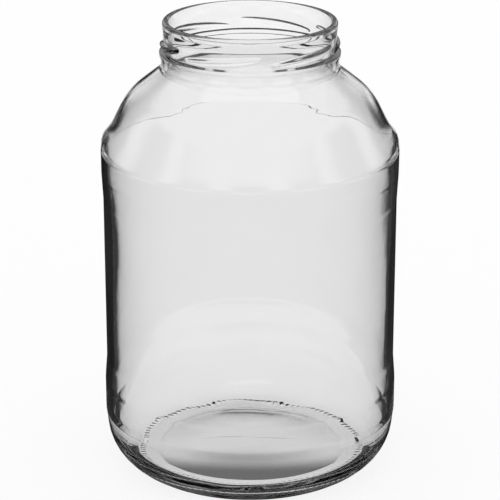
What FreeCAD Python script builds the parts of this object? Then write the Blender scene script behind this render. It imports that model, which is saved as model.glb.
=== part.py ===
import FreeCAD, Part
import Sketcher
import math
import os

from FreeCAD import Placement, Rotation, Vector

# A five-litre screw-top jar of clear glass, empty and without its lid.
# Millimetres, +Z up, origin on the jar's axis in the plane that it stands on.

os.makedirs("parts", exist_ok=True)
doc = FreeCAD.newDocument("ScrewTopJar")

# Each step or inset is radial, from the diameter that the comment above it names.
# Each drop is measured down from the rim, and each height up from the table.
DIMENSIONS = {
    "jar_height": 285.2,
    # finish: the threaded mouth, from finish_diameter
    "finish_diameter": 105.0,
    "finish_wall": 3.8,
    "mouth_round": 1.6,
    "lip_step": 0.5,
    "lip_depth": 4.4,
    "lip_slope": 1.4,
    "lip_round": 2.1,
    "lug_count": 6,
    "lug_projection": 2.5,
    "lug_sweep": 46.0,
    "lug_lead": 4.5,
    "lug_drop": 13.3,
    "lug_start": 10.2,
    "bead_step": 2.5,
    "bead_drop": 20.4,
    "bead_thickness": 2.8,
    "bead_slope": 1.2,
    "bead_round": 1.0,
    "neck_step": 1.5,
    "neck_drop": 29.4,
    "neck_round": 4.0,
    # body, from panel_diameter: a recessed label panel between two bands
    "panel_diameter": 181.2,
    "panel_wall": 3.6,
    "panel_foot": 69.7,
    "panel_drop": 111.0,
    "panel_round": 60.0,
    "upper_band_step": 0.85,
    "upper_band_drop": 94.8,
    "lower_band_step": 1.2,
    "lower_band_height": 55.2,
    "band_round": 40.0,
    # shoulder and dome, from panel_diameter
    "shoulder_step": 1.15,
    "shoulder_drop": 75.2,
    "shoulder_round": 2.0,
    "edge_inset": 2.4,
    "edge_drop": 72.0,
    "edge_round": 3.0,
    "dome_inset": 15.1,
    "dome_drop": 46.3,
    "dome_round": 42.0,
    # heel, bearing ring and push-up, from panel_diameter
    "heel_height": 36.8,
    "heel_blend_round": 48.0,
    "knee_inset": 1.7,
    "knee_height": 9.9,
    "knee_round": 31.4,
    "ring_inset": 19.3,
    "ring_width": 14.8,
    "ring_round": 5.0,
    "push_up_height": 5.0,
    "push_up_slope_width": 23.5,
    "push_up_round": 170.0,
    # inside of the glass below the finish
    "floor_height": 9.5,
    "inner_heel_round": 18.0,
    "inner_shoulder_drop": 78.5,
    "inner_shoulder_round": 14.0,
    "dome_wall": 4.2,
    "inner_dome_round": 38.0,
    "inner_neck_dip": 1.2,
    "inner_neck_round": 8.0,
}

sheet = doc.addObject("Spreadsheet::Sheet", "dims")
for row, (alias, number) in enumerate(DIMENSIONS.items(), start=1):
    sheet.set(f"A{row}", alias)
    sheet.set(f"B{row}", str(number))
    sheet.setAlias(f"B{row}", alias)
doc.recompute()


class Size:
    """A length held both as a number and as an expression on the sheet."""

    def __init__(self, number, text):
        self.number = number
        self.text = text

    def __add__(self, other):
        return Size(self.number + other.number, f"({self.text} + {other.text})")

    def __sub__(self, other):
        return Size(self.number - other.number, f"({self.text} - {other.text})")

    def __mul__(self, factor):
        return Size(self.number * factor, f"({self.text} * {factor})")


def dim(alias):
    return Size(DIMENSIONS[alias], f"dims.{alias}")


def below_rim(alias):
    return dim("jar_height") - dim(alias)


finish_radius = dim("finish_diameter") * 0.5
panel_radius = dim("panel_diameter") * 0.5
mouth_radius = finish_radius - dim("finish_wall")
inner_radius = panel_radius - dim("panel_wall")

SHARP = None
ZERO = None
# Where a wall slopes at about 45 degrees, the share of it that lies along each axis.
DIAGONAL = 0.7


# ------------------------------------------------------- corners of the section
# A corner is a radius, a height and a rounding. ZERO lies on the axis or the table.

def base_corners():
    """The underside, from the middle of the push-up out to the bearing ring."""
    ring_outer = panel_radius - dim("ring_inset")
    ring_inner = ring_outer - dim("ring_width")
    crown = ring_inner - dim("push_up_slope_width")
    return [
        (ZERO, dim("push_up_height"), SHARP),
        (crown, dim("push_up_height"), dim("push_up_round")),
        (ring_inner, ZERO, SHARP),
        (ring_outer, ZERO, dim("ring_round")),
    ]


def body_corners():
    """The outside, from the heel up over the label panel to the shoulder edge."""
    lower_band = panel_radius + dim("lower_band_step")
    upper_band = panel_radius + dim("upper_band_step")
    shoulder = panel_radius + dim("shoulder_step")
    knee = panel_radius - dim("knee_inset")
    return [
        (knee, dim("knee_height"), dim("knee_round")),
        (lower_band, dim("heel_height"), dim("heel_blend_round")),
        (lower_band, dim("lower_band_height"), dim("band_round")),
        (panel_radius, dim("panel_foot"), dim("panel_round")),
        (panel_radius, below_rim("panel_drop"), dim("panel_round")),
        (upper_band, below_rim("upper_band_drop"), dim("band_round")),
        (shoulder, below_rim("shoulder_drop"), dim("shoulder_round")),
    ]


def dome_corners():
    """The outside, from the hollow above the shoulder edge to the neck."""
    edge = panel_radius - dim("edge_inset")
    dome = panel_radius - dim("dome_inset")
    neck = finish_radius + dim("neck_step")
    return [
        (edge, below_rim("edge_drop"), dim("edge_round")),
        (dome, below_rim("dome_drop"), dim("dome_round")),
        (neck, below_rim("neck_drop"), dim("neck_round")),
    ]


def finish_corners():
    """The outside of the neck: transfer bead, thread wall and lip."""
    neck = finish_radius + dim("neck_step")
    bead = finish_radius + dim("bead_step")
    bead_foot = below_rim("bead_drop") - dim("bead_thickness") * 0.5
    bead_top = below_rim("bead_drop") + dim("bead_thickness") * 0.5
    lip = finish_radius + dim("lip_step")
    lip_foot = below_rim("lip_depth")
    return [
        (neck, bead_foot - dim("bead_slope"), SHARP),
        (bead, bead_foot, dim("bead_round")),
        (bead, bead_top, dim("bead_round")),
        (finish_radius, bead_top + dim("bead_slope"), SHARP),
        (finish_radius, lip_foot - dim("lip_slope"), SHARP),
        (lip, lip_foot, SHARP),
        (lip, dim("jar_height"), dim("lip_round")),
    ]


def inside_corners():
    """The inside, from the mouth down to the middle of the floor."""
    dome_setback = dim("dome_wall") * DIAGONAL
    inner_dome = panel_radius - dim("dome_inset") - dome_setback
    return [
        (mouth_radius, dim("jar_height"), dim("mouth_round")),
        (mouth_radius, below_rim("neck_drop") - dim("inner_neck_dip"), dim("inner_neck_round")),
        (inner_dome, below_rim("dome_drop") - dome_setback, dim("inner_dome_round")),
        (inner_radius, below_rim("inner_shoulder_drop"), dim("inner_shoulder_round")),
        (inner_radius, dim("floor_height"), dim("inner_heel_round")),
        (ZERO, dim("floor_height"), SHARP),
    ]


# ---------------------------------------------------------------- sketch helpers

START, END, CENTRE = 1, 2, 3
X_AXIS, Y_AXIS = -1, -2


def origin_feature(body, role):
    return next(item for item in body.Origin.OriginFeatures if item.Role == role)


def new_sketch(body, name, role):
    sketch = body.newObject("Sketcher::SketchObject", name)
    sketch.AttachmentSupport = (origin_feature(body, role), [""])
    sketch.MapMode = "FlatFace"
    return sketch


def place_point(sketch, geometry, point, x, y):
    """Hold a point at an offset from the sketch's origin, or on an axis for ZERO."""
    for kind, offset, axis in (("DistanceX", x, Y_AXIS), ("DistanceY", y, X_AXIS)):
        if offset is ZERO:
            rule = Sketcher.Constraint("PointOnObject", geometry, point, axis)
            sketch.addConstraint(rule)
        else:
            rule = Sketcher.Constraint(kind, X_AXIS, START, geometry, point, offset.number)
            index = sketch.addConstraint(rule)
            sketch.setExpression(f"Constraints[{index}]", offset.text)


def hold_radius(sketch, geometry, radius):
    index = sketch.addConstraint(Sketcher.Constraint("Radius", geometry, radius.number))
    sketch.setExpression(f"Constraints[{index}]", radius.text)


def position(corner):
    x, y, _ = corner
    return Vector(x.number if x else 0.0, y.number if y else 0.0, 0.0)


def tangent_points(before, corner, after):
    """Where a corner's rounding leaves the two lines, and the arc's centre."""
    apex = position(corner)
    inward = (position(before) - apex).normalize()
    outward = (position(after) - apex).normalize()
    half_angle = inward.getAngle(outward) / 2
    rounding = corner[2].number
    reach = rounding / math.tan(half_angle)
    centre = apex + (inward + outward).normalize() * (rounding / math.sin(half_angle))
    return apex + inward * reach, apex + outward * reach, centre


def draw_outline(sketch, corners):
    """Draw a closed outline of lines, with an arc at each rounded corner."""
    count = len(corners)
    starts, ends, centres = [], [], []
    for index, corner in enumerate(corners):
        if corner[2] is SHARP:
            start = end = centre = position(corner)
        else:
            before, after = corners[index - 1], corners[(index + 1) % count]
            start, end, centre = tangent_points(before, corner, after)
        starts.append(start)
        ends.append(end)
        centres.append(centre)

    lines = []
    for index in range(count):
        edge = Part.LineSegment(ends[index], starts[(index + 1) % count])
        lines.append(sketch.addGeometry(edge))

    for index, corner in enumerate(corners):
        arriving, leaving = lines[index - 1], lines[index]
        if corner[2] is SHARP:
            sketch.addConstraint(Sketcher.Constraint("Coincident", arriving, END, leaving, START))
            place_point(sketch, leaving, START, corner[0], corner[1])
        else:
            round_corner(sketch, corner, arriving, leaving, starts[index], ends[index], centres[index])


def round_corner(sketch, corner, arriving, leaving, start, end, centre):
    """Join two lines by a tangent arc, with their apex held as a construction point."""
    circle = Part.Circle(centre, Vector(0, 0, 1), corner[2].number)
    turns_left = (start - centre).cross(end - centre).z > 0
    first, last = (start, end) if turns_left else (end, start)
    bend = Part.ArcOfCircle(circle, circle.parameter(first), unrolled(circle, first, last))
    arc = sketch.addGeometry(bend)
    arc_start, arc_end = (START, END) if turns_left else (END, START)
    sketch.addConstraint(Sketcher.Constraint("Tangent", arriving, END, arc, arc_start))
    sketch.addConstraint(Sketcher.Constraint("Tangent", arc, arc_end, leaving, START))
    hold_radius(sketch, arc, corner[2])

    apex = sketch.addGeometry(Part.Point(position(corner)), True)
    place_point(sketch, apex, START, corner[0], corner[1])
    sketch.addConstraint(Sketcher.Constraint("PointOnObject", apex, START, arriving))
    sketch.addConstraint(Sketcher.Constraint("PointOnObject", apex, START, leaving))


def unrolled(circle, first, last):
    """The end angle of an arc, past its start angle."""
    begin, finish = circle.parameter(first), circle.parameter(last)
    return finish if finish > begin else finish + 2 * math.pi


# --------------------------------------------------------------------- features

def turn_glass(body):
    """Revolve the jar's whole section, outside and inside, around its axis."""
    section = new_sketch(body, "GlassSection", "XZ_Plane")
    outside = base_corners() + body_corners() + dome_corners() + finish_corners()
    draw_outline(section, outside + inside_corners())
    section.Visibility = False

    glass = body.newObject("PartDesign::Revolution", "Glass")
    glass.Profile = section
    glass.ReferenceAxis = (section, ["V_Axis"])
    glass.Angle = 360.0
    return glass


def add_lugs(body):
    """Sweep one round-ended lug along its lead, then repeat it around the finish."""
    section = new_sketch(body, "LugSection", "XZ_Plane")
    section.AttachmentOffset = Placement(
        Vector(0, below_rim("lug_drop").number, 0),
        Rotation(0, DIMENSIONS["lug_start"], DIMENSIONS["lug_lead"]),
    )
    section.setExpression(".AttachmentOffset.Base.y", below_rim("lug_drop").text)
    section.setExpression(".AttachmentOffset.Rotation.Pitch", "dims.lug_start * 1 deg")
    section.setExpression(".AttachmentOffset.Rotation.Roll", "dims.lug_lead * 1 deg")
    middle = Vector(finish_radius.number, 0, 0)
    circle = Part.Circle(middle, Vector(0, 0, 1), dim("lug_projection").number)
    nose = section.addGeometry(circle)
    place_point(section, nose, CENTRE, finish_radius, ZERO)
    hold_radius(section, nose, dim("lug_projection"))
    section.Visibility = False

    lug = body.newObject("PartDesign::Revolution", "Lug")
    lug.Profile = section
    lug.ReferenceAxis = (section, ["V_Axis"])
    lug.Midplane = True
    lug.setExpression("Angle", "dims.lug_sweep")

    ends = [add_lug_end(body, section, side) for side in (-1, 1)]
    body.Tip = ends[-1]
    doc.recompute()

    lugs = body.newObject("PartDesign::PolarPattern", "Lugs")
    lugs.Originals = [lug] + ends
    lugs.Axis = (origin_feature(body, "Z_Axis"), [""])
    lugs.Angle = 360.0
    lugs.setExpression("Occurrences", "dims.lug_count")
    return lugs


def add_lug_end(body, lug_section, side):
    """Close one end of the lug with a ball of the lug's own section."""
    section = body.newObject("Sketcher::SketchObject", "LugEndSection")
    section.AttachmentSupport = (lug_section, [""])
    section.MapMode = "ObjectXY"
    section.setExpression(".AttachmentOffset.Rotation.Pitch", f"{side} * dims.lug_sweep / 2 * 1 deg")
    middle = Vector(finish_radius.number, 0, 0)
    reach = Vector(dim("lug_projection").number, 0, 0)
    circle = Part.Circle(middle, Vector(0, 0, 1), reach.x)
    arc = section.addGeometry(Part.ArcOfCircle(circle, 0.0, math.pi))
    edge = section.addGeometry(Part.LineSegment(middle - reach, middle + reach))
    section.addConstraint(Sketcher.Constraint("Coincident", arc, END, edge, START))
    section.addConstraint(Sketcher.Constraint("Coincident", arc, START, edge, END))
    section.addConstraint(Sketcher.Constraint("PointOnObject", edge, START, X_AXIS))
    place_point(section, arc, CENTRE, finish_radius, ZERO)
    hold_radius(section, arc, dim("lug_projection"))
    section.Visibility = False

    ball = body.newObject("PartDesign::Revolution", "LugEnd")
    ball.Profile = section
    ball.ReferenceAxis = (section, ["H_Axis"])
    ball.Angle = 360.0
    return ball


def make_jar():
    body = doc.addObject("PartDesign::Body", "Jar")
    body.Label = "jar"
    turn_glass(body)
    body.Tip = add_lugs(body)
    body.Placement = Placement()
    return body


# -------------------------------------------------------------- build and export

def export(body):
    doc.recompute()
    for item in doc.Objects:
        if {"Invalid", "Error"} & set(item.State):
            raise RuntimeError(f"{item.Label} did not build: {item.State}")
    if body.Shape.isNull() or not body.Shape.isValid():
        raise RuntimeError(f"{body.Label} has no valid shape")
    body.Shape.exportStep(f"parts/{body.Label}.step")


export(make_jar())
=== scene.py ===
import math

import bpy
import numpy as np
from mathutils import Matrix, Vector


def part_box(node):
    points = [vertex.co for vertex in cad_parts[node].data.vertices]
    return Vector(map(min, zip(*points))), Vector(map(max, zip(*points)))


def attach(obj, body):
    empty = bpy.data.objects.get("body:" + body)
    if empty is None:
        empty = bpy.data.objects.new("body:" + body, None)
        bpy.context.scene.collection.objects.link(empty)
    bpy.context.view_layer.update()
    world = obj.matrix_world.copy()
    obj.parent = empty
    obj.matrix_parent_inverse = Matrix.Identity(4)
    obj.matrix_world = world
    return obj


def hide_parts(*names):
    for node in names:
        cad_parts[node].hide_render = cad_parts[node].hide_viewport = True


# A large screw-top jar of clear glass, empty and without its lid. Metres, +Z up.
# The glass is one closed mesh, turned from a section and then given its relief.

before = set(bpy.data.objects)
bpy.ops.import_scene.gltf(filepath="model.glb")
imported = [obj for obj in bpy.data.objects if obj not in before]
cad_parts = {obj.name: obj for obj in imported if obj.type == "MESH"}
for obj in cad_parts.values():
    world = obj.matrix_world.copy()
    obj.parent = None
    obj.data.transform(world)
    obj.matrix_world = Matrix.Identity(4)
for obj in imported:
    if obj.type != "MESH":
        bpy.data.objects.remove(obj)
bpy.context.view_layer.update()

# -------------------------------------------------------------------- the sizes

MM = 0.001
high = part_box("jar")[1]

# Radii, from the widest band inwards
LOWER_BAND_STEP = 1.2 * MM
UPPER_BAND_STEP = 0.85 * MM
belly = high.x
panel = belly - LOWER_BAND_STEP
finish = panel - 38.1 * MM
ring = panel - 19.3 * MM
ring_inner = ring - 14.8 * MM
push_up = ring - 38.3 * MM
knurl_radius = panel - 21.5 * MM

# Heights
rim = high.z
push_up_rise = 4.4 * MM
floor_height = 9.2 * MM
floor_rise = 4.2 * MM
seam_height = 35 * MM
lower_band = 55.2 * MM
panel_foot = 69.7 * MM
panel_top = rim - 111 * MM
upper_band = rim - 94.8 * MM
ledge_height = rim - 78 * MM
nub_height = rim - 73 * MM
lug_height = rim - 13.7 * MM
lug_low = rim - 18 * MM
lug_high = rim - 8.5 * MM
lug_reach = rim - 5.5 * MM
wall_foot = 15 * MM
wall_top = rim - 34 * MM
heel_foot = 4 * MM

# Roundings shared by the outside and the inside
PUSH_UP_ROUND = 170 * MM
PANEL_ROUND = 60 * MM
BAND_ROUND = 40 * MM

# ------------------------------------------------------------------ the section
# A corner is a radius, a height and a rounding.


def outside_corners():
    """From the middle of the underside, up over heel, body and dome, to the lip."""
    neck = finish + 1.5 * MM
    bead = finish + 2.5 * MM
    lip = finish + 0.5 * MM
    return [
        (0.0, push_up_rise, 0.0),
        (push_up, push_up_rise, PUSH_UP_ROUND),
        (ring_inner, 0.0, 4 * MM),
        (ring, 0.0, 5 * MM),
        (panel - 1.7 * MM, 9.9 * MM, 31.4 * MM),
        (belly, 36.8 * MM, 48 * MM),
        (belly, lower_band, BAND_ROUND),
        (panel, panel_foot, PANEL_ROUND),
        (panel, panel_top, PANEL_ROUND),
        (panel + UPPER_BAND_STEP, upper_band, BAND_ROUND),
        (panel + 1.0 * MM, rim - 78.6 * MM, 12 * MM),
        (panel - 15.1 * MM, rim - 46.3 * MM, 42 * MM),
        (neck, rim - 29.4 * MM, 4 * MM),
        (neck, rim - 22.0 * MM, 0.5 * MM),
        (bead, rim - 21.4 * MM, 0.4 * MM),
        (bead, rim - 19.2 * MM, 0.6 * MM),
        (finish, lug_low, 0.8 * MM),
        (finish, rim - 8 * MM, 20 * MM),
        (lip, rim - 4 * MM, 8 * MM),
        (lip, rim, 2.1 * MM),
    ]


def inside_corners():
    """From the mouth down over the dome and the wall to the middle of the floor."""
    mouth = finish - 3.2 * MM
    wall = panel - 3.6 * MM
    dome = panel - 18.0 * MM
    return [
        (mouth, rim, 1.6 * MM),
        (mouth + 0.6 * MM, rim - 30.6 * MM, 7 * MM),
        (dome, rim - 49.2 * MM, 38 * MM),
        (wall + 1.0 * MM, rim - 79.5 * MM, 8.4 * MM),
        (wall + UPPER_BAND_STEP, upper_band, BAND_ROUND),
        (wall, panel_top, PANEL_ROUND),
        (wall, panel_foot, PANEL_ROUND),
        (wall + LOWER_BAND_STEP, lower_band, BAND_ROUND),
        (wall + LOWER_BAND_STEP, 40 * MM, BAND_ROUND),
        (wall - 0.6 * MM, floor_height, 18 * MM),
        (ring - 12.8 * MM, floor_height, 12 * MM),
        (push_up, floor_height + floor_rise, PUSH_UP_ROUND),
        (0.0, floor_height + floor_rise, 0.0),
    ]


ARC_STEP = math.radians(8)
COARSE_GAP = 4.5 * MM
RING_LEVEL = 2.5 * MM
TOUCHING = 1e-6


def rounded(corners):
    """The corners joined by lines, with an arc of at least three steps at each rounding."""
    points = [np.array(corners[0][:2])]
    for before, corner, after in zip(corners, corners[1:], corners[2:]):
        apex, radius = np.array(corner[:2]), corner[2]
        inward = np.array(before[:2]) - apex
        outward = np.array(after[:2]) - apex
        inward /= np.linalg.norm(inward)
        outward /= np.linalg.norm(outward)
        half = math.acos(np.clip(inward @ outward, -1, 1)) / 2
        middle = (inward + outward) / np.linalg.norm(inward + outward)
        centre = apex + middle * radius / math.sin(half)
        start = apex + inward * radius / math.tan(half) - centre
        turn = math.pi - 2 * half
        steps = max(3, math.ceil(turn / ARC_STEP), math.ceil(turn * radius / COARSE_GAP))
        side = math.copysign(1, start[0] * -middle[1] + start[1] * middle[0])
        for step in range(steps + 1):
            angle = side * turn * step / steps
            cos, sin = math.cos(angle), math.sin(angle)
            points.append(centre + np.array([start[0] * cos - start[1] * sin,
                                             start[0] * sin + start[1] * cos]))
    points.append(np.array(corners[-1][:2]))
    return points


def rounded_run(corners, outer):
    """One side of the section, with the lip's rounding closed against the other side."""
    if outer:
        return rounded(corners + [inside_corners()[0]])[:-1]
    return rounded([outside_corners()[-1]] + corners)[1:]


def by_the_knurls(radius, height, reach):
    """Whether a row of the outside is within reach of the middle of the knurled edge."""
    return height < RING_LEVEL and abs(radius - knurl_radius) < reach


def row_gap(point, outer):
    """The widest gap between two rows near a place on the section, coarse where plain."""
    radius, height = point
    if outer and lug_low < height < lug_high:
        return 0.45 * MM
    if outer and abs(height - seam_height) < 1.2 * MM:
        return 0.4 * MM
    if outer and abs(height - ledge_height) < 1.8 * MM:
        return 0.3 * MM
    if outer and by_the_knurls(radius, height, 4 * MM):
        return 0.6 * MM
    return 2 * COARSE_GAP


def divided(points, outer):
    """The section with its long runs divided, and divided again where the relief is fine."""
    result = [points[0]]
    for start, end in zip(points, points[1:]):
        length = np.linalg.norm(end - start)
        if length < TOUCHING:
            continue
        coarse = np.linspace(start, end, math.ceil(length / COARSE_GAP) + 1)
        for first, last in zip(coarse, coarse[1:]):
            gap = row_gap((first + last) / 2, outer)
            steps = math.ceil(np.linalg.norm(last - first) / gap)
            result.extend(np.linspace(first, last, steps + 1)[1:])
    return result


# ------------------------------------------------------------------- the relief
# An angle of nought is at the right, and a quarter turn is behind the jar.

KNURLS = 108
KNURL_DEPTH = 0.6 * MM
KNURL_REACH = 2.6 * MM
LUGS = 6
LUG_START = math.radians(10.2)
LUG_HALF_SWEEP = math.radians(26.5)
LUG_HALF_LEAD = 2.1 * MM
LUG_DEPTH = 2.2 * MM
LUG_UPPER_SIDE = 2.2 * MM
LUG_LOWER_SIDE = 3.8 * MM
NUB_DEPTH = 1.7 * MM
NUB_HALF_SWEEP = math.radians(30)
NUB_REACH = 6.5 * MM
NUB_SHIFT_INSIDE = 1.5 * MM


def bump(distance, width):
    """A smooth rise of one, over a distance of one width each way."""
    share = np.clip(np.abs(distance) / width, 0, 1)
    return 0.5 + 0.5 * np.cos(math.pi * share)


def lugs(turn, height):
    """Six threads on the finish, rising to the right, each a leaf with a steeper upper side."""
    total = np.zeros_like(turn)
    for index in range(LUGS):
        middle = LUG_START + 2 * math.pi * index / LUGS
        around = (turn - middle + math.pi) % (2 * math.pi) - math.pi
        line = lug_height + LUG_HALF_LEAD * around / LUG_HALF_SWEEP
        leaf = np.sqrt(np.clip(1 - (around / LUG_HALF_SWEEP) ** 2, 0, 1))
        widest = np.where(height > line, LUG_UPPER_SIDE, LUG_LOWER_SIDE)
        width = widest * (0.25 + 0.75 * leaf)
        total = np.maximum(total, LUG_DEPTH * leaf * bump(height - line, width))
    return total


def knurling(turn, radius):
    """Short ribs around the outer edge of the bearing ring, cut up into it."""
    drift = MM * (0.9 * np.sin(7 * turn + 1) + 0.6 * np.sin(12 * turn))
    window = bump(radius - knurl_radius - drift, KNURL_REACH)
    return -KNURL_DEPTH * window * (0.5 - 0.5 * np.cos(KNURLS * turn))


def seams(turn, height):
    """The mould's lines: up each side, low around each side, and behind the shoulder."""
    beside = np.abs(np.sin(turn)) * belly
    upright = 0.10 * MM * bump(beside, 1.2 * MM)
    around = 0.16 * MM * bump(height - seam_height, 0.8 * MM) * np.cos(turn) ** 4
    parting = ledge_height + MM * (0.5 * np.sin(9 * turn) + 0.3 * np.sin(16 * turn + 2))
    behind = np.clip(np.sin(turn), 0, 1) ** 0.5 * (1 - 0.75 * bump(np.cos(turn), 0.45))
    ledge = 0.36 * MM * bump(height - parting, 0.6 * MM) * behind
    return upright + around + ledge


def nubs(turn, height):
    """The swellings above the shoulder, one on each side of the jar."""
    beside = bump(np.arcsin(np.abs(np.sin(turn))), NUB_HALF_SWEEP)
    return NUB_DEPTH * beside * bump(height - nub_height, NUB_REACH)


def unevenness(turn, height):
    """The gentle swell of the glass where no mould touched it."""
    swell = 0.22 * np.sin(2 * turn + 0.8 + 9 * height) + 0.14 * np.sin(3 * turn - 17 * height)
    ripple = 0.06 * np.sin(7 * turn + 60 * height) + 0.05 * np.sin(11 * turn - 47 * height + 2)
    return MM * (swell + ripple)


def inside_relief(turn, radius, height):
    """How far a row of the inside stands out of the glass: over the floor, up the wall, none above."""
    if height < wall_foot:
        return 0.6 * unevenness(turn, radius) * min(1, radius / belly) ** 2
    if height < wall_top:
        return unevenness(turn, height) - nubs(turn, height + NUB_SHIFT_INSIDE)
    return np.zeros_like(turn)


def outside_relief(turn, radius, height):
    """How far a row of the outside stands out of the glass."""
    rise = nubs(turn, height)
    if height > heel_foot:
        rise = rise + seams(turn, height)
    if lug_low < height < lug_reach:
        rise = rise + lugs(turn, height)
    if height < RING_LEVEL:
        rise = rise + knurling(turn, radius)
    return rise


# --------------------------------------------------------------------- the mesh

SEGMENTS = 2 * KNURLS
ON_AXIS = 1e-7


def fineness(radius, height, outer):
    """How many times more points a row has where the relief is fine."""
    if outer and by_the_knurls(radius, height, 3.3 * MM):
        return 4
    if outer and lug_low < height < lug_high:
        return 3
    return 1


def turned_rows():
    """Rows of points around the jar, from the underside's middle to the floor's."""
    rows = []
    for corners, outer in ((outside_corners(), True), (inside_corners(), False)):
        rows += [(point, outer) for point in divided(rounded_run(corners, outer), outer)]
    return rows


def normals(points):
    """Unit normals of the section, on its right-hand side as it is walked."""
    path = np.array(points)
    along = np.gradient(path, axis=0)
    along /= np.linalg.norm(along, axis=1, keepdims=True)
    return np.stack([along[:, 1], -along[:, 0]], axis=1)


def make_jar():
    rows = turned_rows()
    across = normals([point for point, outer in rows])
    vertices, rings = [], []
    for ((radius, height), outer), normal in zip(rows, across):
        if radius < ON_AXIS:
            rings.append(np.array([len(vertices)]))
            vertices.append((0.0, 0.0, height))
            continue
        count = SEGMENTS * fineness(radius, height, outer)
        turn = 2 * math.pi * np.arange(count) / count
        relief = outside_relief if outer else inside_relief
        out = relief(turn, radius, height)
        reach = radius + normal[0] * out
        level = np.maximum(height + normal[1] * out, 0.0)
        rings.append(np.arange(len(vertices), len(vertices) + count))
        vertices.extend(zip(reach * np.cos(turn), reach * np.sin(turn), level))
    faces = []
    for lower, upper in zip(rings, rings[1:]):
        faces += band(lower, upper)
    mesh = bpy.data.meshes.new("jar_glass")
    mesh.from_pydata([tuple(map(float, vertex)) for vertex in vertices], [], faces)
    mesh.shade_smooth()
    return placed(mesh)


def band(first, second):
    """The faces between two rings, of which one may have several times more points."""
    if len(first) == 1:
        return [(int(first[0]), int(second[i]), int(second[i - 1])) for i in range(len(second))]
    if len(second) == 1:
        return [(int(second[0]), int(first[i - 1]), int(first[i])) for i in range(len(first))]
    if len(first) == len(second):
        return [(int(first[i - 1]), int(first[i]), int(second[i]), int(second[i - 1]))
                for i in range(len(first))]
    if len(first) > len(second):
        return [tuple(reversed(face)) for face in band(second, first)]
    ratio = len(second) // len(first)
    middle = ratio // 2
    faces = []
    for index in range(len(first)):
        here, following = int(first[index]), int(first[(index + 1) % len(first)])
        fine = [int(second[(index * ratio + step) % len(second)]) for step in range(ratio + 1)]
        faces += [(here, fine[step + 1], fine[step]) for step in range(middle)]
        faces.append((here, following, fine[middle]))
        faces += [(following, fine[step + 1], fine[step]) for step in range(middle, ratio)]
    return faces


def placed(mesh):
    """A mesh as an object of its own name in the scene."""
    item = bpy.data.objects.new(mesh.name, mesh)
    bpy.context.scene.collection.objects.link(item)
    return item


# ------------------------------------------------------------- tools for shaders

WHITE = (1, 1, 1, 1)


def empty_tree(owner):
    """The node tree of a material or a world, without its first nodes."""
    owner.use_nodes = True
    owner.node_tree.nodes.clear()
    return owner.node_tree


def feed(tree, socket, value):
    """A link where the value is an output, and a constant where it is a number or a colour."""
    if isinstance(value, bpy.types.NodeSocket):
        tree.links.new(value, socket)
    else:
        socket.default_value = value


def add(tree, kind, **inputs):
    """A node with its inputs fed by name."""
    node = tree.nodes.new(kind)
    for name, value in inputs.items():
        feed(tree, node.inputs[name.replace("_", " ")], value)
    return node


def calculate(tree, operation, first, second=0.0, third=0.0, clamp=False):
    """The result of one operation on numbers or outputs."""
    node = tree.nodes.new("ShaderNodeMath")
    node.operation = operation
    node.use_clamp = clamp
    for socket, value in zip(node.inputs, (first, second, third)):
        feed(tree, socket, value)
    return node.outputs[0]


def ramp(tree, value, start, end, low_value=0.0, high_value=1.0):
    """A smooth step of a value, from one level to another."""
    node = add(tree, "ShaderNodeMapRange", Value=value, From_Min=start, From_Max=end,
               To_Min=low_value, To_Max=high_value)
    node.interpolation_type = "SMOOTHSTEP"
    return node.outputs["Result"]


def choose(tree, share, inside, outside):
    """The first level where share is one, and the second where it is nought."""
    return add(tree, "ShaderNodeMix", Factor=share, A=outside, B=inside).outputs["Result"]


def parts(tree, vector):
    """The three parts of a vector."""
    return add(tree, "ShaderNodeSeparateXYZ", Vector=vector).outputs


# ---------------------------------------------------------------- the materials

GLASS_IOR = 1.52
WEAR_ROUGHNESS = 0.35
RIPPLE_SHARE = 0.13
FLOOR_OWN_WHITE = 0.85


def glass_material():
    """Clear glass, a little wavy, faintly absorbing, and worn matt where it stands."""
    material = bpy.data.materials.new("clear_glass")
    tree = empty_tree(material)
    place = add(tree, "ShaderNodeTexCoord").outputs["Object"]
    waves = add(tree, "ShaderNodeTexNoise", Vector=place, Scale=38.0, Detail=2.0, Roughness=0.4)
    specks = add(tree, "ShaderNodeTexNoise", Vector=place, Scale=900.0, Detail=2.0)
    worn = ramp(tree, parts(tree, place)["Z"], 0.9 * MM, 0.2 * MM)
    wear = calculate(tree, "MULTIPLY", worn, specks.outputs["Fac"])
    ripples = add(tree, "ShaderNodeTexNoise", Vector=place, Scale=170.0, Detail=3.0, Roughness=0.6)
    uneven = calculate(tree, "MULTIPLY_ADD", ripples.outputs["Fac"], RIPPLE_SHARE,
                       waves.outputs["Fac"])
    bumps = add(tree, "ShaderNodeBump", Height=uneven, Strength=0.14, Distance=0.4 * MM)
    tint = tree.nodes.new("ShaderNodeMix")
    tint.data_type = "RGBA"
    feed(tree, tint.inputs["Factor"], waves.outputs["Fac"])
    tint.inputs["A"].default_value = (0.985, 0.985, 0.985, 1)
    tint.inputs["B"].default_value = (0.965, 0.965, 0.965, 1)
    shader = add(tree, "ShaderNodeBsdfPrincipled", Base_Color=tint.outputs["Result"],
                 Normal=bumps.outputs["Normal"], IOR=GLASS_IOR, Transmission_Weight=1.0,
                 Roughness=calculate(tree, "MULTIPLY", wear, WEAR_ROUGHNESS))
    body = add(tree, "ShaderNodeVolumeAbsorption", Color=(0.85, 0.85, 0.85, 1), Density=50.0)
    add(tree, "ShaderNodeOutputMaterial", Surface=shader.outputs["BSDF"],
        Volume=body.outputs["Volume"])
    return material


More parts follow.
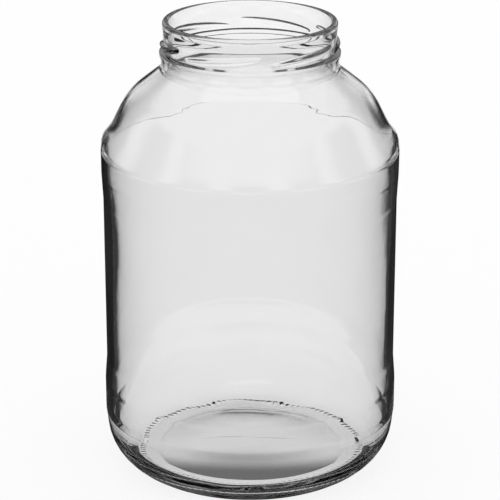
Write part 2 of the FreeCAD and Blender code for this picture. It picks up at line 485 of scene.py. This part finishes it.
def floor_material():
    """A pale floor. Part of its white is its own, so that it stays even up to its edge."""
    material = bpy.data.materials.new("pale_floor")
    tree = empty_tree(material)
    matt = add(tree, "ShaderNodeBsdfDiffuse", Color=(0.93, 0.93, 0.93, 1))
    white = add(tree, "ShaderNodeEmission", Color=WHITE, Strength=1.0)
    seen = add(tree, "ShaderNodeLightPath").outputs["Is Camera Ray"]
    mix = add(tree, "ShaderNodeMixShader", Fac=calculate(tree, "MULTIPLY", seen, FLOOR_OWN_WHITE))
    tree.links.new(matt.outputs[0], mix.inputs[1])
    tree.links.new(white.outputs[0], mix.inputs[2])
    add(tree, "ShaderNodeOutputMaterial", Surface=mix.outputs[0])
    return material


def shade_material():
    """White, with a painted shadow under the push-up that grows darker towards the front."""
    material = bpy.data.materials.new("painted_table_shadow")
    tree = empty_tree(material)
    place = add(tree, "ShaderNodeTexCoord").outputs["Object"]
    from_axis = add(tree, "ShaderNodeVectorMath", Vector=place)
    from_axis.operation = "LENGTH"
    # painted shadow: dimmer towards the front inside the bearing ring, full white outside it
    inner = ramp(tree, parts(tree, place)["Y"], -36 * MM, -2 * MM, 0.2, 1.0)
    outer = ramp(tree, from_axis.outputs["Value"], ring_inner, ring_inner + 1 * MM)
    glow = add(tree, "ShaderNodeEmission", Color=WHITE,
               Strength=calculate(tree, "MAXIMUM", inner, outer))
    add(tree, "ShaderNodeOutputMaterial", Surface=glow.outputs[0])
    return material


# -------------------------------------------------------------- floor and shade

FLOOR_SIZE = 12.0
SHADE_STEPS = 96
SHADE_DEPTH = 0.3 * MM


def make_floor():
    size = FLOOR_SIZE
    corners = [(-size, -size, 0), (size, -size, 0), (size, size, 0), (-size, size, 0)]
    mesh = bpy.data.meshes.new("floor")
    mesh.from_pydata(corners, [], [(0, 1, 2, 3)])
    mesh.materials.append(floor_material())
    floor = placed(mesh)
    floor.visible_transmission = False
    floor.visible_glossy = False


def make_shade():
    """A glowing disc that paints the table's shadow under the slope of the push-up, seen only through
    the glass.
    """
    radius = panel - 10 * MM
    angles = [2 * math.pi * step / SHADE_STEPS for step in range(SHADE_STEPS)]
    corners = [(radius * math.cos(angle), radius * math.sin(angle), -SHADE_DEPTH)
               for angle in angles]
    mesh = bpy.data.meshes.new("shade")
    mesh.from_pydata(corners, [], [tuple(range(SHADE_STEPS))])
    mesh.materials.append(shade_material())
    shade = placed(mesh)
    shade.visible_camera = False
    shade.visible_glossy = False
    shade.visible_diffuse = False
    shade.visible_shadow = False


# ---------------------------------------------------------------- light and camera
# Elevations and headings are in degrees. The room repeats every 45 degrees of heading.

SPOKE = 45
FLAG_START = 13.0
FLAG_FULL = 18.5
DARK = 0.02
FAR_GLASS_LEVEL = 0.12
STRIP_LEVEL = 0.75
NEAR_SURFACES = 2.5
CAMERA_BACK = 1264.6 * MM
CAMERA_UP = 588.1 * MM
CAMERA_ASIDE = -0.05 * MM
CAMERA_DIP = 19.6


def climb(degrees):
    """The upward part of a direction at an elevation."""
    return math.sin(math.radians(degrees))


def make_world():
    """White to the eye. Through the glass it has dark flags, which draw the glass's edges."""
    world = bpy.data.worlds.new("studio")
    bpy.context.scene.world = world
    tree = empty_tree(world)
    path = add(tree, "ShaderNodeLightPath").outputs
    direction = parts(tree, add(tree, "ShaderNodeTexCoord").outputs["Generated"])
    rise = direction["Z"]
    heading = calculate(tree, "ARCTAN2", direction["Y"], direction["X"])
    heading = calculate(tree, "MULTIPLY", heading, math.degrees(1))
    aside = calculate(tree, "PINGPONG", heading, SPOKE / 2)
    flags = ramp(tree, aside, FLAG_START, FLAG_FULL, 1.0, DARK)
    room = reflected_room(tree, rise, aside, path["Transmission Depth"])
    mirrored = calculate(tree, "GREATER_THAN", path["Glossy Depth"], 0.5)
    through = choose(tree, mirrored, room, flags)
    in_glass = calculate(tree, "ADD", path["Is Transmission Ray"], path["Is Glossy Ray"],
                         clamp=True)
    background = add(tree, "ShaderNodeBackground", Color=WHITE,
                     Strength=choose(tree, in_glass, through, 1.0))
    add(tree, "ShaderNodeOutputWorld", Surface=background.outputs[0])


def reflected_room(tree, rise, aside, surfaces):
    """What a ray sees after a reflection in the glass: dark below the horizon, light above it.

    The light above is weaker along the spokes until it is overhead. A strip below the
    horizon is light too, higher along the spokes, to keep the edges of neck and dome clear.
    Glass behind the first wall sees one dim level, so that no pattern of the room shows.
    """
    above = ramp(tree, rise, climb(-4), climb(6))
    between_spokes = ramp(tree, aside, 8.0, 20.0, 0.2, 1.0)
    overhead = ramp(tree, rise, climb(24), climb(36))
    above = calculate(tree, "MULTIPLY", above, calculate(tree, "MAXIMUM", between_spokes, overhead))
    strip_foot = ramp(tree, rise, climb(-15.4), climb(-14.7), 0.0, STRIP_LEVEL)
    strip_top = ramp(tree, rise, climb(-12.8), climb(-12), 1.0, 0.0)
    column_top = ramp(tree, rise, climb(-8), climb(-6), 1.0, 0.0)
    on_spoke = ramp(tree, aside, 12.0, 18.0, 1.0, 0.0)
    column = calculate(tree, "MULTIPLY", column_top, on_spoke)
    strip = calculate(tree, "MULTIPLY", strip_foot, calculate(tree, "MAXIMUM", strip_top, column))
    room = calculate(tree, "MAXIMUM", calculate(tree, "MAXIMUM", above, strip), DARK)
    near = calculate(tree, "LESS_THAN", surfaces, NEAR_SURFACES)
    return choose(tree, near, room, FAR_GLASS_LEVEL)


def make_camera():
    data = bpy.data.cameras.new("camera")
    data.sensor_width = 36.0
    data.lens = 154.8
    camera = bpy.data.objects.new("camera", data)
    bpy.context.scene.collection.objects.link(camera)
    camera.location = (CAMERA_ASIDE, -CAMERA_BACK, CAMERA_UP)
    camera.rotation_euler = (math.radians(90 - CAMERA_DIP), 0, 0)
    bpy.context.scene.camera = camera


# --------------------------------------------------------------------- the scene

jar = make_jar()
jar.data.materials.append(glass_material())
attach(jar, "root")
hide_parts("jar")

make_floor()
make_shade()
make_world()
make_camera()
bpy.context.scene.view_settings.view_transform = "Standard"
bpy.context.scene.cycles.max_bounces = 24
bpy.context.scene.cycles.glossy_bounces = 16
bpy.context.scene.cycles.transmission_bounces = 20
